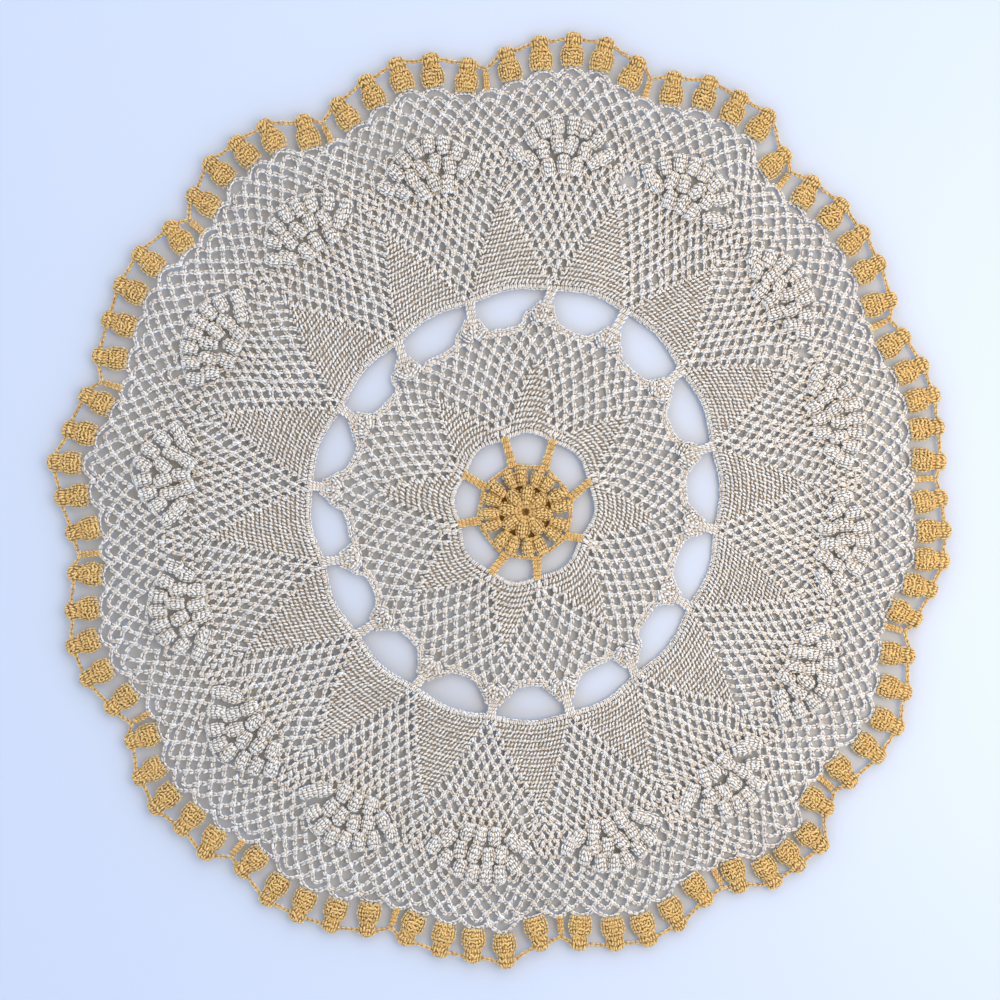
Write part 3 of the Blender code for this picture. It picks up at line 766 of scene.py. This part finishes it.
def side_rounds(nets):
    """Net between two groups of popcorns, round the axis of each spear."""
    for number in range(SECTIONS):
        yarn = nets[number // SECTIONS_EACH]
        for round_number, row in enumerate(SIDE_ROUNDS, start=VALLEY_ROUNDS + 1):
            low, high = ring_top(round_number - 1), ring_top(round_number)
            half = 0.5 - row.group_half / width_of(ring_place, number, low)
            marks = number + np.linspace(-half, half, row.loops + 1)
            anchors = shaken_places(yarn, ring_place, marks, low, FEET_SHAKE)
            spots = (marks[:-1] + marks[1:]) / 2
            net(yarn, ring_place, anchors, shaken_places(yarn, ring_place, spots, high, SIDE_SHAKE))


def whole_round(nets, place, anchors, tops):
    """A round of net all the way about, shared out among the nets; the last loop meets the first."""
    closed = np.concatenate([anchors, anchors[:1] + (SECTIONS, 0.0)])
    each = len(tops) // len(nets)
    for number, yarn in enumerate(nets):
        part = slice(number * each, (number + 1) * each)
        net(yarn, place, closed[part.start:part.stop + 1], tops[part])


def outer_rounds(nets):
    """The open net beyond the popcorns, and the last round that carries the shells."""

    def shaken(spots, number, amount):
        return shaken_places(nets[0], ring_place, spots, ring_top(number), amount, middle=0.0)

    first = VALLEY_ROUNDS + len(SIDE_ROUNDS) + 1
    spots = np.arange(SECTIONS * OUTER_LOOPS) / OUTER_LOOPS
    anchors = shaken(spots, first - 1, FEET_SHAKE)
    for round_number in range(first, RING_ROUNDS):
        spots = spots + 0.5 / OUTER_LOOPS
        tops = shaken(spots, round_number, OUTER_SHAKE)
        whole_round(nets, ring_place, anchors, tops)
        anchors = tops
    feet, heads = [], []
    for number in range(SECTIONS):
        places = [number, *(number + share for share in BULB_AT), number + 1]
        feet += [(a + b) / 2 for a, b in zip(places[:-1], places[1:])]
        heads += places[1:]
    anchors = shaken(feet, RING_ROUNDS - 1, FEET_SHAKE)
    tops = np.stack([heads, np.full(len(heads), LAST_TOP)], axis=-1)
    whole_round(nets, ring_place, anchors, tops)


def popcorn_places(leg, row):
    """Middles of one popcorn row, and their directions along it and outwards."""
    width = width_of(ring_place, leg, row.depth)
    across = (np.arange(row.count) - (row.count - 1) / 2) * POPCORN_PITCH / width
    at, depth = leg + across, row.depth - ROW_BEND * across**2
    slope = 2 * ROW_BEND * across * STEP * ROW_TILT
    along = unit(ring_place(at + STEP, depth - slope) - ring_place(at - STEP, depth + slope))
    return ring_place(at, depth), along, -to_right(along)


def popcorns(puffed, nets):
    """Puffed clusters in three rows, and the chain line that closes the last row."""
    for number in range(SECTIONS):
        yarn, chains = puffed[number // SECTIONS_EACH], nets[number // SECTIONS_EACH]
        for row in POPCORN_ROWS:
            centre, along, out = popcorn_places(number + 0.5, row)
            hand = np.where(np.arange(row.count) % 2 == 0, -1.0, 1.0)[:, None]
            out = unit(out + along * hand * row.splay)
            out = unit(out + along * yarn.random.normal(0, POPCORN_TURN, (row.count, 1)))
            centre = centre + yarn.random.normal(0, POPCORN_SHAKE, centre.shape)
            yarn.puffs(centre, out, POPCORN)
        across = np.linspace(-LINE_HALF, LINE_HALF, LINE_POINTS)
        depth = POPCORN_ROWS[-1].depth + LINE_PAST - ROW_BEND * across**2
        chains.chain_line(ring_place(number + 0.5 + across, depth), POPCORN_LINE)


def disc_top(number, at=0.5):
    """Depth of the top of a disc round, which dips between the legs in the last ones."""
    rounds = len(DISC_ROUNDS) + DISC_OPEN_ROUNDS
    dip = DISC_DIP * max(0.0, (number - DIP_AFTER) / (rounds - DIP_AFTER))
    dip = dip * np.cos(np.pi * np.asarray(at)) ** 2
    return DISC_BAND + (DISC_EDGE - DISC_BAND) * number / rounds - dip


def disc(yarn, solid, ground):
    """The inner disc: firm hole edge, eight spears, and net that closes round their tips."""
    for tip in TIPS:
        post_round(solid, ground, disc_place, tip, 1.0, (0.0, DISC_BAND), BAND_POST)
        tops = np.array([(tip, disc_top(0))])
        for number, row in enumerate(DISC_ROUNDS, start=1):
            low, high = disc_top(number - 1), disc_top(number)
            width = width_of(disc_place, tip, low, 1.0)
            half = min(DISC_WIDEST_VALLEY, row.loops * row.pitch / width)
            first, last = ((at, disc_top(number - 1, at)) for at in (tip - half, tip + half))
            anchors = np.concatenate([[first], tops, [last]])
            spots = tip + middles(row.loops) * half
            tops = shaken_places(yarn, disc_place, spots, high, DISC_SHAKE)
            tops[:, 1] += disc_top(number, spots) - high
            net(yarn, disc_place, anchors, tops)
            if half < DISC_LAST_SPEAR:
                axis = tip + 1.0
                post_round(solid, ground, disc_place, axis, 1 - half, (low, high), SPEAR_POST)
    loops = DISC_ROUNDS[-1].loops + 1
    spots = 0.5 + np.arange(loops * len(TIPS)) * 2.0 / loops
    anchors = np.stack([spots, disc_top(len(DISC_ROUNDS), spots)], axis=-1)
    for number in range(len(DISC_ROUNDS) + 1, len(DISC_ROUNDS) + DISC_OPEN_ROUNDS + 1):
        spots = spots + 1.0 / loops
        tops = np.stack([spots, disc_top(number, spots)], axis=-1)
        tops += yarn.random.normal(0, DISC_OPEN_SHAKE, tops.shape)
        whole_round([yarn], disc_place, anchors, tops)
        anchors = tops


def smooth_line(points, step):
    """A smooth open line through the points, cut at even steps."""
    points = np.asarray(points, float)
    padded = np.concatenate([2 * points[:1] - points[1:2], points, 2 * points[-1:] - points[-2:-1]])
    share = np.arange(LINE_STEPS)[:, None] / LINE_STEPS
    parts = []
    for a, b, c, d in zip(padded[:-3], padded[1:-2], padded[2:-1], padded[3:]):
        parts.append(
            0.5 * (2 * b + (c - a) * share + (2 * a - 5.0 * b + 4.0 * c - d) * share**2
                   + (3.0 * b - a - 3.0 * c + d) * share**3)
        )
    dense = np.concatenate([*parts, points[-1:]])
    lengths = measured(dense)
    return even_points(dense, lengths, max(FEWEST_STITCHES, int(round(lengths[-1] / step))))


def past_fan(fan, out, along, inset):
    """Points of the disc's edge chain beside a fan, on the side that along leads to."""
    return [
        fan + out * (row.out - inset) + along * (row.aside - inset * row.inner_aside)
        for row in RIM_FROM_FAN
    ]


def fans_and_legs(yarn):
    """At each leg's foot a fan of posts, the leg, and the double chain of the disc's edge."""
    frames = []
    turns = np.radians(FAN_TURNS)[:, None]
    widths = LEG_WIDE - LEG_WAIST * np.sin(np.pi * np.linspace(0, 1, LEG_POINTS))
    for at in LEGS:
        fan, top = disc_place(at, 1.0), ring_place(at, 0.0)
        out = unit(top - fan)
        along = to_right(out)
        frames.append((fan, out, along))
        rays = out * np.cos(turns) + along * np.sin(turns)
        yarn.puffs(fan - out * FAN_HOLE + rays * FAN_REACH, rays, FAN)
        yarn.ropes(fan + out * LEG_START, top + out * LEG_PAST, along, DISC_LEG, widths)
    for number, (fan, out, along) in enumerate(frames):
        other, other_out, other_along = frames[(number + 1) % SECTIONS]
        middle = disc_place(LEGS[number] + RIM_AT, 1 - RIM_DIP / DISC_DEPTH)
        inwards = unit(DISC_CENTRE - middle)
        for inset, kind in ((0.0, DISC_RIM), (INNER_RIM, DISC_INNER_RIM)):
            line = [
                *past_fan(fan, out, along, inset),
                *(middle + inwards * inset),
                *reversed(past_fan(other, other_out, -other_along, inset)),
            ]
            yarn.chain_line(smooth_line(line, RIM_STITCH), kind)


def rosette_ground(yarn):
    """The ground behind the petals and under the eye, dark as painted shade, and short posts round
    the eye.
    """
    spokes = np.linspace(0, FULL_TURN, BASE_SPOKES + 1)
    base = polar(ROSETTE_CENTRE, spokes, BASE_RINGS[:, None])
    # Painted shade: the base is nearly black so that the gaps and the eye look shadowed.
    yarn.slab(raised(base, BASE_HEIGHT), BASE_THICKNESS, BASE_PAINTED_SHADE)
    ring = np.linspace(0, FULL_TURN, EYE_POSTS, endpoint=False)
    feet, heads = (polar(ROSETTE_CENTRE, ring, radius) for radius in (EYE_FOOT, EYE_HEAD))
    along = to_right(unit(heads - ROSETTE_CENTRE)) * EYE_POST.pitch
    yarn.strokes(feet, heads - feet, along, EYE_POST)


def rosette(yarn, puffed):
    """Eight petals, sixteen leaves, a chain rim and eight legs."""
    rosette_ground(yarn)
    petals, leaves = [], []
    share = np.linspace(0, 1, RIM_PIECES)
    rim_radius = RIM_BETWEEN + (RIM_AT_LEG - RIM_BETWEEN) * (2 * share - 1.0) ** 2
    steps = np.linspace(0, 1, ROSETTE_LEG_POINTS)
    widths = ROSETTE_LEG_WIDE - ROSETTE_LEG_WAIST * np.sin(np.pi * steps * WAIST_PLACE)
    for number, leg in enumerate(ROSETTE_LEGS):
        following = ROSETTE_LEGS[(number + 1) % len(ROSETTE_LEGS)]
        span = (following.base_deg - leg.base_deg) % FULL_TURN
        petals.append(leg.leaves_deg + (following.leaves_deg - leg.leaves_deg) % FULL_TURN / 2)
        leaves += [leg.leaves_deg - LEAF_SPREAD, leg.leaves_deg + LEAF_SPREAD]
        bridge = leg.leaves_deg + np.linspace(-BRIDGE_HALF, BRIDGE_HALF, BRIDGE_POINTS)
        yarn.chain_line(polar(ROSETTE_CENTRE, bridge, BRIDGE_PLACE), LEAF_BRIDGE)
        rim = polar(ROSETTE_CENTRE, leg.base_deg + span * share, rim_radius)
        yarn.chain_line(rim, ROSETTE_RIM)
        base = polar(ROSETTE_CENTRE, leg.base_deg, RIM_AT_LEG - FOOT_INSET)
        tip = disc_place(TIPS[number], 0.0)
        aim = unit(tip - base)
        yarn.ropes(base, tip + aim * TIP_PAST, to_right(aim), ROSETTE_LEG, widths)
    for degrees, out, puff in ((petals, PETAL_PLACE, PETAL), (leaves, LEAF_PLACE, LEAF)):
        centre = polar(ROSETTE_CENTRE, np.array(degrees), out)
        puffed.puffs(centre, unit(centre - ROSETTE_CENTRE), puff)


def shells(yarn, knobs, start, end):
    """Shells of the edging: a wide bulb on the lace, a pinch, and a small knob outside."""
    axis = unit(end - start)
    length = np.linalg.norm(end - start, axis=-1, keepdims=True)

    def spots(across, share):
        return start + to_right(axis) * across + axis * length * share

    yarn.puffs(spots(0.0, BULB_PLACE), axis, BULB)
    knobs.puffs(spots(0.0, KNOB_PLACE), axis, KNOB)
    return np.stack([spots(row.aside, row.share) for row in KNOB_CHAIN], axis=1)


def edging(yarn, knobs):
    """Sixteen scallops of five shells, joined by a chain along the outer edge."""
    starts, ends = [], []
    for number, row in enumerate(TABLE):
        for share, knob_share, knob in zip(BULB_AT, KNOB_AT, row.knobs):
            starts.append(ring_place(number + share, 1.0))
            ends.append(polar(PATTERN_CENTRE, joint_angle(number + knob_share), knob))
    heads = shells(yarn, knobs, np.array(starts), np.array(ends))
    for number, row in enumerate(TABLE):
        foot = ring_place(number, 1.0)
        valley = polar(PATTERN_CENTRE, joint_angle(float(number)), row.joint)
        axis = unit(valley - foot)
        inset = axis * JOINT_INSET
        yarn.ropes(foot - inset, valley - inset, to_right(axis), JOINT_LEG, np.ones(JOINT_POINTS))
        following = TABLE[(number + 1) % SECTIONS]
        last = polar(PATTERN_CENTRE, joint_angle(number + 1.0), following.joint)
        tips = heads[number * len(BULB_AT):(number + 1) * len(BULB_AT)].reshape(-1, 2)
        yarn.chain_line(smooth_line([valley, *tips, last], STITCH), SCALLOP)


def with_inputs(node, values):
    """The node, once the named inputs have these values."""
    for name, value in values.items():
        node.inputs[name].default_value = value
    return node


def node_material(name, values):
    """A material, its nodes, its links, and its shader with these inputs."""
    material = bpy.data.materials.new(name)
    material.use_nodes = True
    tree = material.node_tree
    return material, tree.nodes, tree.links, with_inputs(tree.nodes["Principled BSDF"], values)


def cotton(kind):
    """Two-ply cotton: a fine twist along each strand, fibre grain, uneven dye, and painted shade."""
    material, nodes, links, shader = node_material(
        kind.slot,
        {
            "Roughness": 0.85, "Specular IOR Level": 0.25,
            "Sheen Weight": 0.12, "Sheen Roughness": 0.5, "Sheen Tint": kind.sheen,
        },
    )
    place = nodes.new("ShaderNodeTexCoord").outputs["Object"]

    def calculated(operation, *values):
        node = nodes.new("ShaderNodeMath")
        node.operation = operation
        for socket, value in zip(node.inputs, values):
            if isinstance(value, (int, float)):
                socket.default_value = value
            else:
                links.new(value, socket)
        return node.outputs[0]

    def noise(scale, detail):
        node = with_inputs(nodes.new("ShaderNodeTexNoise"), {"Scale": scale, "Detail": detail})
        links.new(place, node.inputs["Vector"])
        return node.outputs["Fac"]

    def attribute(name, output):
        node = nodes.new("ShaderNodeAttribute")
        node.attribute_name = name
        return node.outputs[output]

    parts = nodes.new("ShaderNodeSeparateXYZ")
    links.new(attribute("twist", "Vector"), parts.inputs[0])
    across, up, along = parts.outputs
    phase = calculated("MULTIPLY", along, 2 * math.pi / PLY_PITCH)
    ply = calculated("MULTIPLY", up, calculated("SINE", phase))
    ply = calculated("MULTIPLY_ADD", across, calculated("COSINE", phase), ply)
    height = calculated("MULTIPLY_ADD", ply, PLY_RELIEF, noise(*GRAIN))
    bump = with_inputs(nodes.new("ShaderNodeBump"), {"Strength": 0.6, "Distance": 0.00012})
    links.new(height, bump.inputs["Height"])
    links.new(bump.outputs["Normal"], shader.inputs["Normal"])

    # Painted shade: the shade attribute darkens the colour towards the shadow colour; the noise
    # patches are uneven dye.
    shade = calculated("MULTIPLY_ADD", attribute("shade", "Fac"), PAINTED_SHADE_SHARE, -SHADE_DROP)
    # The twist also darkens the colour in its grooves: painted shade.
    shade = calculated("MULTIPLY_ADD", ply, PLY_PAINTED_SHADE, shade)
    shade = calculated("MULTIPLY_ADD", noise(*PATCHES), PATCH_SHARE, shade)
    mix = nodes.new("ShaderNodeMix")
    mix.data_type = "RGBA"
    mix.clamp_factor = True
    with_inputs(mix, {"A": kind.shadow, "B": kind.colour})
    links.new(shade, mix.inputs["Factor"])
    links.new(mix.outputs["Result"], shader.inputs["Base Color"])
    return Finish(material, kind.slot)


def floor():
    """A plain pale surface, cool in tone."""
    bpy.ops.mesh.primitive_plane_add(size=FLOOR_SIDE)
    plane = bpy.context.object
    plane.name = "floor"
    material, *_ = node_material("pale_floor", {"Base Color": FLOOR_COLOUR, "Roughness": 0.8})
    plane.data.materials.append(material)


def area_light(lamp):
    """A square lamp that faces the doily's middle."""
    data = bpy.data.lights.new(lamp.name, "AREA")
    data.size, data.energy, data.color = lamp.size, lamp.power, LAMP_COLOUR
    light = bpy.data.objects.new(lamp.name, data)
    light.location = lamp.place
    x, y, z = lamp.place
    turn = math.atan2(-y, -x) - math.pi / 2
    light.rotation_euler = (math.atan2(math.hypot(x, y), z), 0.0, turn)
    bpy.context.scene.collection.objects.link(light)


def surround():
    """Light from all round, which changes from its sides to overhead."""
    world = bpy.data.worlds.new("studio")
    bpy.context.scene.world = world
    world.use_nodes = True
    nodes, links = world.node_tree.nodes, world.node_tree.links
    place, parts = nodes.new("ShaderNodeTexCoord"), nodes.new("ShaderNodeSeparateXYZ")
    tone = nodes.new("ShaderNodeMix")
    tone.data_type = "RGBA"
    with_inputs(tone, {"A": SIDE_LIGHT, "B": OVERHEAD_LIGHT})
    fade = with_inputs(nodes.new("ShaderNodeMapRange"), FADE)
    links.new(place.outputs["Generated"], parts.inputs[0])
    links.new(parts.outputs["Z"], fade.inputs["Value"])
    links.new(fade.outputs["Result"], tone.inputs["Factor"])
    links.new(tone.outputs["Result"], nodes["Background"].inputs["Color"])


def studio():
    """The surround, two soft lamps, and the camera straight above."""
    surround()
    for lamp in LAMPS:
        area_light(lamp)
    camera = bpy.data.cameras.new("camera")
    camera.sensor_width = SENSOR_WIDTH
    camera.lens = CAMERA_HEIGHT / FRAME_SIDE * SENSOR_WIDTH
    eye = bpy.data.objects.new("camera", camera)
    eye.location = (*FRAME_CENTRE, CAMERA_HEIGHT)
    scene = bpy.context.scene
    scene.collection.objects.link(eye)
    scene.camera = eye
    scene.view_settings.view_transform = "Standard"


def make_ring(beige):
    spears, ground = Yarn(seed=11), Yarn(seed=12)
    nets = [Yarn(seed=13 + number) for number in range(QUARTERS)]
    puffed = [Yarn(seed=17 + number) for number in range(QUARTERS)]
    ring_spears_and_valleys(spears, ground, nets)
    side_rounds(nets)
    popcorns(puffed, nets)
    outer_rounds(nets)
    ground_piece = ground.build("ring_spear_ground", beige, ["outer_lace"])
    spears.build("ring_spears", beige)
    for number, (yarn, clusters) in enumerate(zip(nets, puffed), start=1):
        net_piece = yarn.build(f"ring_net_{number}", beige)
        clusters.build(f"popcorns_{number}", beige)


def make_disc(beige):
    yarn, solid, ground, fans = (Yarn(seed=seed) for seed in (21, 22, 23, 24))
    disc(yarn, solid, ground)
    fans_and_legs(fans)
    net_piece = yarn.build("disc_net", beige, ["inner_lace"])
    fans.build("disc_fans_and_legs", beige)
    ground_piece = ground.build("disc_spear_ground", beige)
    solid.build("disc_spears", beige)


def make_rosette(yellow):
    yarn, puffed = Yarn(seed=31), Yarn(seed=32)
    rosette(yarn, puffed)
    ground_piece = yarn.build("rosette_ground", yellow, ["rosette"])
    puffed.build("rosette_petals_and_leaves", yellow)


def make_edging(yellow):
    yarn, knobs = Yarn(seed=33), Yarn(seed=34)
    edging(yarn, knobs)
    shells_piece = yarn.build("edging_shells", yellow, ["edging"])
    knobs.build("edging_knobs", yellow)


def main():
    beige, yellow = cotton(BEIGE), cotton(YELLOW)
    make_ring(beige)
    make_disc(beige)
    make_rosette(yellow)
    make_edging(yellow)
    floor()
    studio()


main()
